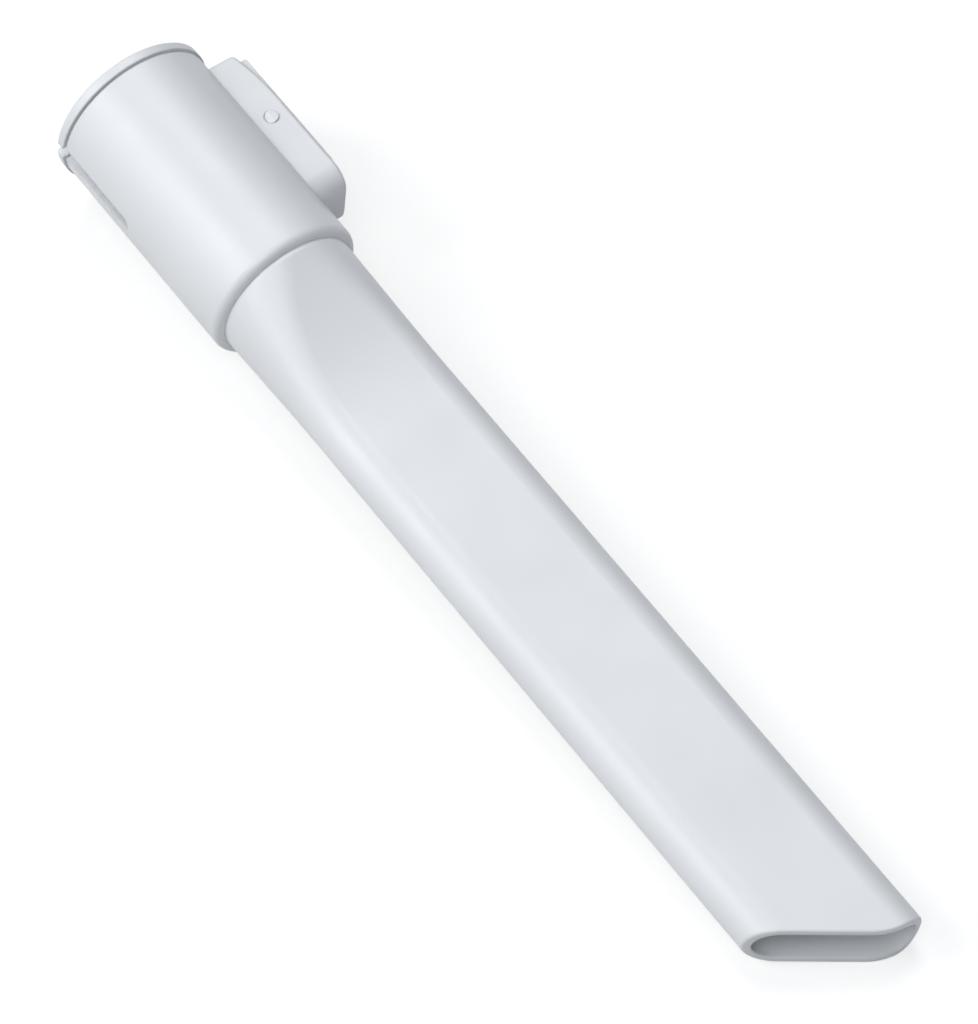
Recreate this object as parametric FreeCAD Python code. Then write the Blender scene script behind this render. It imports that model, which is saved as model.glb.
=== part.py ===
import FreeCAD
import Part
import math
import os

# Vacuum crevice tool: a hollow moulded nozzle with a socket, and a sprung release lever on its collar.
# Built about its own axis: X from the socket's open end to the mouth, Y towards the lever,
# Z out of the flat face. At the end it is turned to lie on the floor. All sizes in millimetres.

V = FreeCAD.Vector
X_AXIS = V(1, 0, 0)
Y_AXIS = V(0, 1, 0)
Z_AXIS = V(0, 0, 1)
ORIGIN = V(0, 0, 0)
PAST = 1.0              # how far a cutting tool reaches past the surface it opens
SAME = 1e-6             # points closer than this are the same point
NEAR = 1e-3             # an edge this close to a cut lies on it

# socket and collar
socket_r = 17.5         # inside radius of the socket
relief = 0.3            # the bore is wider by this beyond its close-fitting run, on the radius
collar_wall = 2.5
collar_len = 64.1       # open end to the shoulder's face
stop_back = 4.5         # shoulder's face back to the stop that the pipe meets
shoulder_round = 2.1    # convex round where the collar ends
root_flat = 0.2         # flat of the shoulder between its round and the nozzle
root_run = 1.1          # straight start of the nozzle, before it turns flat

# rim ring at the open end, and a groove under it that is deepest away from the lever
ring_len = 2.65
ring_proud = 0.5        # the ring's radius is larger than the collar's by this
ring_edge = 0.5         # bevel on the rim's outer edge
groove_width = 0.5      # fine groove between rim ring and collar
groove_depth = 0.85     # halfway round
groove_shift = 0.65     # axis of the groove's floor, towards the lever

# key slot in the collar, opposite the lever
slot_width = 3.6
slot_len = 28.3

# nozzle
nozzle_wall = 1.9
blend_len = 44.0        # run over which the round root turns flat
nozzle_half_w = 18.0    # half width of the flat part
nozzle_half_t = 7.3     # half thickness of the flat part
nozzle_len = 211.9      # shoulder's face to the tip of the mouth
tip_in = 4.7            # the tip's distance in from the nozzle's side
tip_round = 15.0        # plan radius of the tip
cut_angle = 35.3        # slant of the mouth, from square to the axis
lip_bevel = 0.3         # bevel on the edges of the mouth

# lever housing on the collar
block_gap = 3.95        # groove to the housing's open end
nose_back = 13.2        # shoulder's face back to the housing's blunt nose
nose_corner = 5.5       # round on the nose's upright corners
block_half = 9.6        # half width over the cheeks
block_rise = 6.7        # collar to the top of the cheeks
scoop_len = 15.4        # run over which the cheeks fall away to the open end
scoop_drop = 1.9
cheek_corner = 1.2      # round on the cheeks' outer corner
cheek_edge = 0.6        # bevel along the outer top edge of cheeks and nose
cheek_wall = 2.0
end_wall = 6.8          # pocket's end to the nose's face

# lever
lever_gap = 0.35        # clearance between lever and cheeks
lever_inset = 1.4       # housing's open end to the lever's end
lever_end_gap = 0.5     # lever to the pocket's end
lever_proud = 1.0       # cheeks' top to the lever's top face
lever_plate = 2.4
lever_edge = 0.6        # round on the plate's ends
pivot_in = 19.7         # housing's open end to the pivot
pivot_rise = 1.9        # collar to the pivot
pin_r = 1.7
pin_clear = 0.08        # running clearance of the pins, on the radius
pin_proud = 0.35        # how far the pins stand out of the cheeks
pin_bevel = 30.0        # slope of the snap-in bevel on the pins, degrees
ear_clear = 0.1         # ears to the collar
ear_wall = 2.0
hook_back = 2.0         # lever's far end to the hook's far face
hook_wall = 2.5
guide_back = 3.5        # hook back to the end of the close-fitting bore
hook_width = 7.0
hook_reach = 1.1        # how far the hook stands into the socket
hook_lead = 1.0         # lead-in slope on the hook's tip
foot_width = 10.0       # shoulders of the hook that rest on the collar
foot_clear = 0.06
window_clear = 0.5
hook_sweep = 1.0        # room for the hook's swing, towards the mouth

# return spring under the lever's free end
spring_in = 7.4         # housing's open end to the spring's axis
spring_r = 2.3          # mean radius of the coil
wire_r = 0.35
wire_sides = 5          # flats that stand for the round of the wire
spring_turns = 3.0
seat_clear = 0.5        # room around the coil in its seat
seat_depth = 0.8
peg_clear = 0.25        # between the coil and the locating peg
peg_len = 1.6
spring_clear = 0.03

flat_seed = 0.15        # half width of the flat where the nozzle's blend starts

collar_r = socket_r + collar_wall
root_r = collar_r - shoulder_round - root_flat
root_x = collar_len + root_run
socket_depth = collar_len - stop_back
tip_x = collar_len + nozzle_len
tip_y = nozzle_half_w - tip_in
flat_half = nozzle_half_w - nozzle_half_t
groove_end = ring_len + groove_width
block_start = groove_end + block_gap
nose_end = collar_len - nose_back
block_top = collar_r + block_rise
scoop_end = block_start + scoop_len
pocket_end = nose_end - end_wall
lever_half = block_half - cheek_wall - lever_gap
lever_start = block_start + lever_inset
lever_end = pocket_end - lever_end_gap
lever_top = block_top + lever_proud
plate_under = lever_top - lever_plate
pivot_x = block_start + pivot_in
pivot_y = collar_r + pivot_rise
ear_in = lever_half - ear_wall
ear_r = pivot_y - math.sqrt(collar_r ** 2 - ear_in ** 2) - ear_clear
hook_end = lever_end - hook_back
hook_start = hook_end - hook_wall
guide_len = hook_start - guide_back
spring_x = block_start + spring_in
spring_seat_y = collar_r - seat_depth


def cyl_x(radius, x0, x1, y=0.0):
    """Cylinder along the axis, with its seam line on the underside."""
    return Part.makeCylinder(radius, x1 - x0, V(x1, y, 0), X_AXIS * -1)


def box(x0, x1, y0, y1, half_z):
    return Part.makeBox(x1 - x0, y1 - y0, 2 * half_z, V(x0, y0, -half_z))


def quarter_ellipse(start, corner, end):
    curve = Part.BezierCurve()
    curve.setPoles([start, corner, end])
    curve.setWeight(2, math.sqrt(0.5))
    return curve.toShape()


def section(x, half_w, half_t, flat):
    """Flat-topped oval across the axis: straight top and bottom, quarter ellipses at the sides."""
    edges = []
    for sign in (1, -1):
        crown = V(x, sign * flat, sign * half_t)
        waist = V(x, sign * half_w, 0)
        under = V(x, sign * flat, -sign * half_t)
        edges.append(quarter_ellipse(crown, V(x, sign * half_w, sign * half_t), waist))
        edges.append(quarter_ellipse(waist, V(x, sign * half_w, -sign * half_t), under))
        edges.append(Part.makeLine(under, V(x, -sign * flat, -sign * half_t)))
    return Part.Wire(edges)


def stadium(x, half_w, half_t):
    """The oval of the flat part, with half circles at its sides."""
    flat = half_w - half_t
    edges = []
    for sign in (1, -1):
        crown = V(x, sign * flat, sign * half_t)
        under = V(x, sign * flat, -sign * half_t)
        edges.append(Part.Arc(crown, V(x, sign * half_w, 0), under).toShape())
        edges.append(Part.makeLine(under, V(x, -sign * flat, -sign * half_t)))
    return Part.Wire(edges)


def nozzle(inset, x_start, x_end):
    """Nozzle skin moved in by inset: round root, blend to the flat oval, straight run past the mouth."""
    stations = (0.0, 0.2, 0.45, 0.72, 1.0)
    wires = []
    for t in stations:
        half_t = nozzle_half_t + (root_r - nozzle_half_t) * (1 - t) ** 2
        half_w = root_r + (nozzle_half_w - root_r) * t ** 2
        flat = flat_seed + (flat_half - flat_seed) * (1 - (1 - t) ** 3)
        wires.append(section(root_x + t * blend_len, half_w - inset, half_t - inset, flat))
    blend = Part.makeLoft(wires, True, False)
    flat_start = root_x + blend_len
    oval = stadium(flat_start, nozzle_half_w - inset, nozzle_half_t - inset)
    run = Part.Face(oval).extrude(X_AXIS * (x_end - flat_start))
    root = Part.Face(wires[0]).extrude(X_AXIS * (x_start - root_x))
    return root.fuse([blend, run])


def rounded_collar():
    """Collar from the groove to the shoulder, its far edge rounded."""
    collar = cyl_x(collar_r, ring_len, collar_len)
    edges = [e for e in collar.Edges if e.Closed and e.CenterOfMass.x > collar_len - NEAR]
    return collar.makeFillet(shoulder_round, edges)


def rim_ring():
    """Rim ring, its outer edge bevelled."""
    ring = cyl_x(collar_r + ring_proud, 0, ring_len)
    edges = [e for e in ring.Edges if e.Closed and e.CenterOfMass.x < ring_len / 2]
    return ring.makeChamfer(ring_edge, edges)


def housing():
    """Lever housing: a block with round nose corners, met by a side view with scooped cheeks."""
    block = box(block_start, nose_end, 0, block_top, block_half)
    uprights = [V(nose_end, block_top / 2, sign * block_half) for sign in (-1, 1)]
    corners = [e for e in block.Edges for p in uprights if e.CenterOfMass.distanceToPoint(p) < SAME]
    block = block.makeFillet(nose_corner, corners)

    scoop_r = (scoop_len ** 2 + scoop_drop ** 2) / (2 * scoop_drop)
    scoop_angle = math.asin(scoop_len / scoop_r) / 2
    scoop_centre = V(scoop_end, block_top - scoop_r, 0)
    scoop_mid = scoop_centre + V(-math.sin(scoop_angle), math.cos(scoop_angle), 0) * scoop_r
    open_top = V(block_start, block_top - scoop_drop, 0)
    scoop_top = V(scoop_end, block_top, 0)
    nose_top = V(nose_end, block_top, 0)
    side_wire = Part.Wire([
        Part.makeLine(V(block_start, 0, 0), open_top),
        Part.Arc(open_top, scoop_mid, scoop_top).toShape(),
        Part.makeLine(scoop_top, nose_top),
        Part.makeLine(nose_top, V(nose_end, 0, 0)),
        Part.makeLine(V(nose_end, 0, 0), V(block_start, 0, 0)),
    ])
    side = Part.Face(side_wire).extrude(V(0, 0, 2 * block_half))
    side.translate(V(0, 0, -block_half))
    corner = [e for e in side.Edges if e.CenterOfMass.distanceToPoint(open_top) < SAME]
    shell = block.common(side.makeFillet(cheek_corner, corner))
    rim = []
    for edge in shell.Edges:
        mid = edge.valueAt((edge.FirstParameter + edge.LastParameter) / 2)
        outer = abs(mid.z) > block_half - nose_corner or mid.x > nose_end - NEAR
        if outer and mid.y > block_top - scoop_drop - cheek_corner:
            rim.append(edge)
    return shell.makeChamfer(cheek_edge, rim)


def mouth_cutter():
    """All that lies beyond the slanted mouth with its rounded tip."""
    slant = math.radians(cut_angle)
    centre = V(tip_x - tip_round, tip_y, 0)
    joint = centre + V(tip_round * math.cos(slant), -tip_round * math.sin(slant), 0)
    reach = joint.y + 2 * nozzle_half_w
    low = joint - V(reach * math.tan(slant), reach, 0)
    side_end = centre + V(0, tip_round, 0)
    bow = (math.pi / 2 - slant) / 2
    bow_mid = centre + V(tip_round * math.cos(bow), tip_round * math.sin(bow), 0)
    far = tip_x + 3 * nozzle_half_w
    wire = Part.Wire([
        Part.makeLine(low, joint),
        Part.Arc(joint, bow_mid, side_end).toShape(),
        Part.makeLine(side_end, V(far, side_end.y, 0)),
        Part.makeLine(V(far, side_end.y, 0), V(far, low.y, 0)),
        Part.makeLine(V(far, low.y, 0), low),
    ])
    cutter = Part.Face(wire).extrude(V(0, 0, 4 * nozzle_half_t))
    cutter.translate(V(0, 0, -2 * nozzle_half_t))
    return cutter


def key_slot():
    half = slot_width / 2
    deep = -socket_r / 2
    out = -collar_r - ring_proud - PAST
    bar = box(-PAST, slot_len - half, out, deep, half)
    end = Part.makeCylinder(half, deep - out, V(slot_len - half, out, 0), Y_AXIS)
    return bar.fuse(end)


def hook_window():
    low = socket_r - collar_wall
    x0 = hook_start - window_clear
    x1 = hook_end + hook_sweep
    return box(x0, x1, low, collar_r + collar_wall, hook_width / 2 + window_clear)


def bevel_lips(shape):
    """Small bevel on every edge of the mouth's thin end face."""
    cutter = mouth_cutter()
    edges = []
    for edge in shape.Edges:
        points = [v.Point for v in edge.Vertexes]
        points.append(edge.valueAt((edge.FirstParameter + edge.LastParameter) / 2))
        if max(Part.Vertex(p).distToShape(cutter)[0] for p in points) < NEAR:
            edges.append(edge)
    return shape.makeChamfer(lip_bevel, edges)


def build_body():
    overshoot = tip_x + PAST
    neck = cyl_x(collar_r - groove_depth, 0, groove_end, groove_shift)
    groove = cyl_x(collar_r + PAST, ring_len, groove_end).cut(neck)
    collar = rounded_collar().cut(groove)
    pocket = box(block_start - PAST, pocket_end, 0, lever_top, block_half - cheek_wall)
    cheeks = housing().cut(pocket.cut(cyl_x(collar_r, 0, collar_len)))
    outer = collar.fuse([neck, rim_ring(), cheeks, nozzle(0.0, collar_len - socket_r, overshoot)])
    outer = outer.cut(mouth_cutter())
    passage = nozzle(nozzle_wall, socket_depth - PAST, overshoot + PAST)
    seat_r = spring_r + wire_r + seat_clear
    pin_start = V(pivot_x, pivot_y, -block_half - PAST)
    cuts = [
        cyl_x(socket_r, -PAST, guide_len),
        cyl_x(socket_r + relief, guide_len, socket_depth),
        passage,
        key_slot(),
        hook_window(),
        Part.makeCylinder(pin_r + pin_clear, 2 * (block_half + PAST), pin_start, Z_AXIS),
        Part.makeCylinder(seat_r, collar_r, V(spring_x, spring_seat_y, 0), Y_AXIS),
    ]
    return bevel_lips(outer.cut(cuts)).Solids[0]


def build_lever():
    plate = box(lever_start, lever_end, plate_under, lever_top, lever_half)
    crests = (V(lever_start, lever_top, 0), V(lever_end, lever_top, 0))
    ends = [e for e in plate.Edges for p in crests if e.CenterOfMass.distanceToPoint(p) < SAME]
    plate = plate.makeFillet(lever_edge, ends)
    ear_len = plate_under + lever_plate / 2 - pivot_y
    pieces = []
    for sign in (-1, 1):
        z0 = sign * (lever_half - ear_wall / 2) - ear_wall / 2
        pieces.append(Part.makeBox(2 * ear_r, ear_len, ear_wall, V(pivot_x - ear_r, pivot_y, z0)))
        pieces.append(Part.makeCylinder(ear_r, ear_wall, V(pivot_x, pivot_y, z0), Z_AXIS))
    pin_end = block_half + pin_proud
    pin = Part.makeCylinder(pin_r, 2 * pin_end, V(pivot_x, pivot_y, -pin_end), Z_AXIS)
    reach = 2 * pin_r
    pin = pin.cut(box(pivot_x - reach, pivot_x + reach, pivot_y - reach, pivot_y + reach, ear_in))
    crest = V(pivot_x, pivot_y, pin_end)
    bevel = Part.makeBox(2 * reach, 2 * reach, 2 * reach, crest - V(reach, 2 * reach, 0))
    bevel.rotate(crest, X_AXIS, pin_bevel)
    pin = pin.cut([bevel, bevel.mirror(V(pivot_x, pivot_y, 0), Z_AXIS)])
    tip_y0 = socket_r - hook_reach
    foot = box(hook_start, hook_end, socket_r, plate_under + lever_plate / 2, foot_width / 2)
    foot = foot.cut(cyl_x(collar_r + foot_clear, 0, collar_len))
    hook_wire = Part.makePolygon([
        V(hook_start, plate_under, 0),
        V(hook_start, tip_y0 + hook_lead, 0),
        V(hook_start + hook_lead, tip_y0, 0),
        V(hook_end, tip_y0, 0),
        V(hook_end, plate_under, 0),
        V(hook_start, plate_under, 0),
    ])
    hook = Part.Face(hook_wire).extrude(V(0, 0, hook_width))
    hook.translate(V(0, 0, -hook_width / 2))
    peg_r = spring_r - wire_r - peg_clear
    peg = Part.makeCylinder(peg_r, peg_len + lever_plate / 2, V(spring_x, plate_under - peg_len, 0), Y_AXIS)
    return plate.fuse(pieces + [pin, foot, hook, peg]).removeSplitter().Solids[0]


def build_spring():
    low = spring_seat_y + wire_r + spring_clear
    height = plate_under - wire_r - spring_clear - low
    helix = Part.makeHelix(height / spring_turns, height, spring_r)
    turns = [2 * math.pi * k / wire_sides for k in range(wire_sides + 1)]
    wire = Part.makePolygon([V(spring_r + wire_r * math.cos(a), 0, wire_r * math.sin(a)) for a in turns])
    coil = Part.Wire(helix).makePipeShell([wire], True, True)
    coil = Part.Solid(coil) if coil.ShapeType != "Solid" else coil
    coil.rotate(ORIGIN, X_AXIS, -90)
    coil.translate(V(spring_x, low, 0))
    return coil


# lying pose: the shoulder's lowest point and the mouth's lower lip touch the floor together
lie_angle = math.degrees(math.atan2(collar_r - nozzle_half_t, tip_x - collar_len))

parts = {
    "crevice_body": build_body(),
    "release_lever": build_lever(),
    "return_spring": build_spring(),
}

os.makedirs("parts", exist_ok=True)
for name, shape in parts.items():
    shape.rotate(ORIGIN, Y_AXIS, lie_angle)
    print(name, shape.ShapeType, len(shape.Solids), shape.isValid(), round(shape.Volume, 1), shape.BoundBox)
    shape.exportStep("parts/" + name + ".step")
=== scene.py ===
import math

import bpy
from mathutils import Matrix, Vector


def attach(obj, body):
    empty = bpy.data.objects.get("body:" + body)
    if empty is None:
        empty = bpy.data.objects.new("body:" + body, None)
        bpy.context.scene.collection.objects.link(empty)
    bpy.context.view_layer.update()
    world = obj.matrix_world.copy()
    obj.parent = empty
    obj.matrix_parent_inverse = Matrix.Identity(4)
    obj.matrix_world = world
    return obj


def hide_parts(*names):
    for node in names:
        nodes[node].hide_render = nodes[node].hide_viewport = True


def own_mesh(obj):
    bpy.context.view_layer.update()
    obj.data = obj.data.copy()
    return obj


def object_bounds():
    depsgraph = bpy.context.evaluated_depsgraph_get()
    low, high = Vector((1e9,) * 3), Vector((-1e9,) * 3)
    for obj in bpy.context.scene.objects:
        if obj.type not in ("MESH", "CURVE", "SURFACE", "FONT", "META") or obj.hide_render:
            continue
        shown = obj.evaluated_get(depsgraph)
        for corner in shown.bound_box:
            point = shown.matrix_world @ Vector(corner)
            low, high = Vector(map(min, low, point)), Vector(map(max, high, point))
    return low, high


# The tool's own axis dips by this angle in the frame, because it lies on its shoulder and lower lip.
LIE = math.radians(3.43)

# Camera in the tool's own axes: right, up and back of the view, place in metres from the socket's open end.
VIEW_RIGHT = Vector((0.59888, 0.79778, 0.06982))
VIEW_UP = Vector((-0.70392, 0.48284, 0.52092))
VIEW_BACK = Vector((0.38188, -0.36112, 0.85074))
VIEW_FROM = Vector((0.61462, -0.44777, 1.06194))
LENS_MM = 194.0
SENSOR_MM = 36.0
CLIP_NEAR_M = 0.05
CLIP_FAR_M = 50.0

# Colours of the plastic and the wire: the darker and the lighter end of their clouding.
PLASTIC_DARK = (0.79, 0.81, 0.83, 1.0)
PLASTIC_LIGHT = (0.82, 0.84, 0.86, 1.0)
WIRE_DARK = (0.46, 0.47, 0.48, 1.0)
WIRE_LIGHT = (0.62, 0.63, 0.64, 1.0)

# Roughness varies between these two values.
BODY_ROUGH = (0.36, 0.46)
LEVER_ROUGH = (0.34, 0.44)
WIRE_ROUGH = (0.22, 0.38)

# Noise patterns: repeats in a metre, and detail. A noise counts from NOISE_LOW to NOISE_HIGH.
CLOUD = (28.0, 3.0)
GRAIN = (2600.0, 2.0)
POLISH = (70.0, 4.0)
WIRE_MARKS = (900.0, 3.0)
WIRE_POLISH = (300.0, 2.0)
FLOOR_SPECKLE = (40.0, 2.0)
NOISE_LOW = 0.3
NOISE_HIGH = 0.7

# Bumps: strength, and depth in metres.
GRAIN_BUMP = (0.06, 0.0002)
WIRE_BUMP = (0.1, 0.0001)

# Edges are shaded as if they were rounded by these radii, in metres.
BODY_EDGE = 0.0007
LEVER_EDGE = 0.0003
EDGE_SAMPLES = 6

PLASTIC_IOR = 1.48
PLASTIC_SPECULAR = 0.5

# Floor: side in metres, colours, and the light it adds where the camera, a reflection or glass sees it.
FLOOR_SIZE = 8.0
FLOOR_DARK = (0.495, 0.495, 0.495, 1.0)
FLOOR_LIGHT = (0.5, 0.5, 0.5, 1.0)
FLOOR_ROUGH = 0.9
FLOOR_LIFT = 0.62

# Even light from all around.
WORLD_COLOR = (0.85, 0.91, 1.0, 1.0)
WORLD_STRENGTH = 0.21

# Lamps: direction from the object in view axes (right, up, back), distance and size in metres, watts.
LAMPS = {
    "key": ((-0.68, 0.37, 0.63), 3.2, 0.9, 17.0),
    "front": ((-0.1, 0.1, 1.0), 4.0, 2.4, 44.0),
    "top": ((0.0, 0.85, 0.5), 3.2, 1.6, 30.0),
    "left": ((-0.85, 0.15, 0.5), 3.2, 2.0, 28.0),
}


def from_tool(vector):
    """A vector in the tool's own axes, turned to the frame's axes."""
    return Matrix.Rotation(LIE, 3, "Y") @ vector


def from_view(vector):
    """A vector in view axes, turned to the frame's axes."""
    right, up, back = vector
    return from_tool(VIEW_RIGHT * right + VIEW_UP * up + VIEW_BACK * back)


def node(tree, kind, **inputs):
    """A new node with values on its inputs, named with _ for a space."""
    made = tree.nodes.new(kind)
    for name, value in inputs.items():
        made.inputs[name.replace("_", " ")].default_value = value
    return made


def new_material(name):
    """A material with its node tree and its main shader."""
    material = bpy.data.materials.new(name)
    material.use_nodes = True
    tree = material.node_tree
    return material, tree, tree.nodes["Principled BSDF"]


def noise(tree, scale, detail):
    """Noise over the object's own coordinates."""
    place = tree.nodes.new("ShaderNodeTexCoord")
    made = node(tree, "ShaderNodeTexNoise", Scale=scale, Detail=detail)
    tree.links.new(place.outputs["Object"], made.inputs["Vector"])
    return made


def spread(tree, source, low, high):
    """A value between low and high that follows a noise."""
    ends = {"From_Min": NOISE_LOW, "From_Max": NOISE_HIGH, "To_Min": low, "To_Max": high}
    made = node(tree, "ShaderNodeMapRange", **ends)
    tree.links.new(source.outputs["Fac"], made.inputs["Value"])
    return made


def tint(tree, source, dark, light):
    """A colour between dark and light that follows a noise."""
    made = tree.nodes.new("ShaderNodeValToRGB")
    made.color_ramp.elements[0].position = NOISE_LOW
    made.color_ramp.elements[0].color = dark
    made.color_ramp.elements[1].position = NOISE_HIGH
    made.color_ramp.elements[1].color = light
    tree.links.new(source.outputs["Fac"], made.inputs["Fac"])
    return made


def bump(tree, shader, source, strength, distance):
    """Small heights on the shader's surface that follow a noise."""
    made = node(tree, "ShaderNodeBump", Strength=strength, Distance=distance)
    tree.links.new(source.outputs["Fac"], made.inputs["Height"])
    tree.links.new(made.outputs["Normal"], shader.inputs["Normal"])
    return made


def soft_edges(tree, bumps, radius):
    """Edges shaded as if they were rounded by the radius, under the bumps."""
    edge = node(tree, "ShaderNodeBevel", Radius=radius)
    edge.samples = EDGE_SAMPLES
    tree.links.new(edge.outputs["Normal"], bumps.inputs["Normal"])


def plastic(name, rough, edge):
    """Satin moulded plastic: faint clouding, roughness that varies, a very fine grain, soft edges."""
    material, tree, shader = new_material(name)
    cloud = noise(tree, *CLOUD)
    grain = noise(tree, *GRAIN)
    polish = noise(tree, *POLISH)
    color = tint(tree, cloud, PLASTIC_DARK, PLASTIC_LIGHT)
    tree.links.new(color.outputs["Color"], shader.inputs["Base Color"])
    tree.links.new(spread(tree, polish, *rough).outputs["Result"], shader.inputs["Roughness"])
    soft_edges(tree, bump(tree, shader, grain, *GRAIN_BUMP), edge)
    shader.inputs["IOR"].default_value = PLASTIC_IOR
    shader.inputs["Specular IOR Level"].default_value = PLASTIC_SPECULAR
    return material


def drawn_wire(name):
    """Bright spring steel with fine drawing marks."""
    material, tree, shader = new_material(name)
    marks = noise(tree, *WIRE_MARKS)
    polish = noise(tree, *WIRE_POLISH)
    color = tint(tree, marks, WIRE_DARK, WIRE_LIGHT)
    tree.links.new(color.outputs["Color"], shader.inputs["Base Color"])
    tree.links.new(spread(tree, polish, *WIRE_ROUGH).outputs["Result"], shader.inputs["Roughness"])
    bump(tree, shader, marks, *WIRE_BUMP)
    shader.inputs["Metallic"].default_value = 1.0
    return material


def floor_material():
    """Pale floor that is brighter to the camera, to reflections and through glass, and keeps its shadow."""
    material, tree, shader = new_material("floor")
    out = tree.nodes["Material Output"]
    color = tint(tree, noise(tree, *FLOOR_SPECKLE), FLOOR_DARK, FLOOR_LIGHT)
    tree.links.new(color.outputs["Color"], shader.inputs["Base Color"])
    shader.inputs["Roughness"].default_value = FLOOR_ROUGH
    shader.inputs["Specular IOR Level"].default_value = 0.0
    path = tree.nodes.new("ShaderNodeLightPath")
    seen = path.outputs["Is Camera Ray"]
    for ray in ("Is Glossy Ray", "Is Transmission Ray"):
        either = tree.nodes.new("ShaderNodeMath")
        either.operation = "MAXIMUM"
        tree.links.new(seen, either.inputs[0])
        tree.links.new(path.outputs[ray], either.inputs[1])
        seen = either.outputs["Value"]
    lift = tree.nodes.new("ShaderNodeMath")
    lift.operation = "MULTIPLY"
    lift.inputs[1].default_value = FLOOR_LIFT
    tree.links.new(seen, lift.inputs[0])
    glow = tree.nodes.new("ShaderNodeEmission")
    tree.links.new(lift.outputs["Value"], glow.inputs["Strength"])
    both = tree.nodes.new("ShaderNodeAddShader")
    tree.links.new(shader.outputs["BSDF"], both.inputs[0])
    tree.links.new(glow.outputs["Emission"], both.inputs[1])
    tree.links.new(both.outputs["Shader"], out.inputs["Surface"])
    return material


def dress(piece, material):
    """One material over the whole piece, with the curved faces shaded smooth."""
    piece.data.materials.clear()
    piece.data.materials.append(material)
    piece.data.polygons.foreach_set("use_smooth", [True] * len(piece.data.polygons))


def add_coil(cad, material):
    """A copy of the spring on the body, with its own mesh, shown in place of the hidden spring."""
    coil = bpy.data.objects.new("spring_coil", cad.data.copy())
    bpy.context.scene.collection.objects.link(coil)
    dress(coil, material)
    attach(coil, "body")
    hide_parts("return_spring")
    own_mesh(coil)


def add_floor(height):
    """A plain floor at the height the tool rests on."""
    bpy.ops.mesh.primitive_plane_add(size=FLOOR_SIZE, location=(0.0, 0.0, height))
    floor = bpy.context.object
    floor.name = "floor"
    floor.data.materials.append(floor_material())


def add_lamp(name, centre, direction, distance, size, watts):
    """A round soft lamp that faces the centre."""
    data = bpy.data.lights.new(name, "AREA")
    data.shape = "DISK"
    data.size = size
    data.energy = watts
    lamp = bpy.data.objects.new(name, data)
    bpy.context.scene.collection.objects.link(lamp)
    back = from_view(direction).normalized()
    lamp.location = centre + back * distance
    lamp.rotation_mode = "QUATERNION"
    lamp.rotation_quaternion = (-back).to_track_quat("-Z", "Y")


def add_camera():
    """The camera at the photograph's viewing angle."""
    data = bpy.data.cameras.new("camera")
    data.lens = LENS_MM
    data.sensor_width = SENSOR_MM
    data.clip_start = CLIP_NEAR_M
    data.clip_end = CLIP_FAR_M
    camera = bpy.data.objects.new("camera", data)
    bpy.context.scene.collection.objects.link(camera)
    turn = Matrix((from_tool(VIEW_RIGHT), from_tool(VIEW_UP), from_tool(VIEW_BACK))).transposed()
    camera.matrix_world = Matrix.Translation(from_tool(VIEW_FROM)) @ turn.to_4x4()
    bpy.context.scene.camera = camera


def light_world():
    """Even light from all around."""
    world = bpy.data.worlds.new("world")
    world.use_nodes = True
    back = world.node_tree.nodes["Background"]
    back.inputs["Color"].default_value = WORLD_COLOR
    back.inputs["Strength"].default_value = WORLD_STRENGTH
    bpy.context.scene.world = world


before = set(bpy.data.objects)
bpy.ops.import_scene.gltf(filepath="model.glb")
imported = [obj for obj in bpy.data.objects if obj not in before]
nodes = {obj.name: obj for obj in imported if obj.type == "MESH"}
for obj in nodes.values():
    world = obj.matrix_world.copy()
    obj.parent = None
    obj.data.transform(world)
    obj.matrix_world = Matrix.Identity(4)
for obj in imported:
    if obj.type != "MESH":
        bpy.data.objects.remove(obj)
cad_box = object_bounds()

body_white = plastic("body_plastic", BODY_ROUGH, BODY_EDGE)
lever_white = plastic("lever_plastic", LEVER_ROUGH, LEVER_EDGE)
dress(nodes["crevice_body"], body_white)
dress(nodes["release_lever"], lever_white)
add_coil(nodes["return_spring"], drawn_wire("spring_steel"))

low, high = cad_box
centre = (low + high) / 2
add_floor(low.z)
light_world()
for name, lamp in LAMPS.items():
    add_lamp(name, centre, *lamp)
add_camera()
bpy.context.scene.view_settings.view_transform = "Standard"
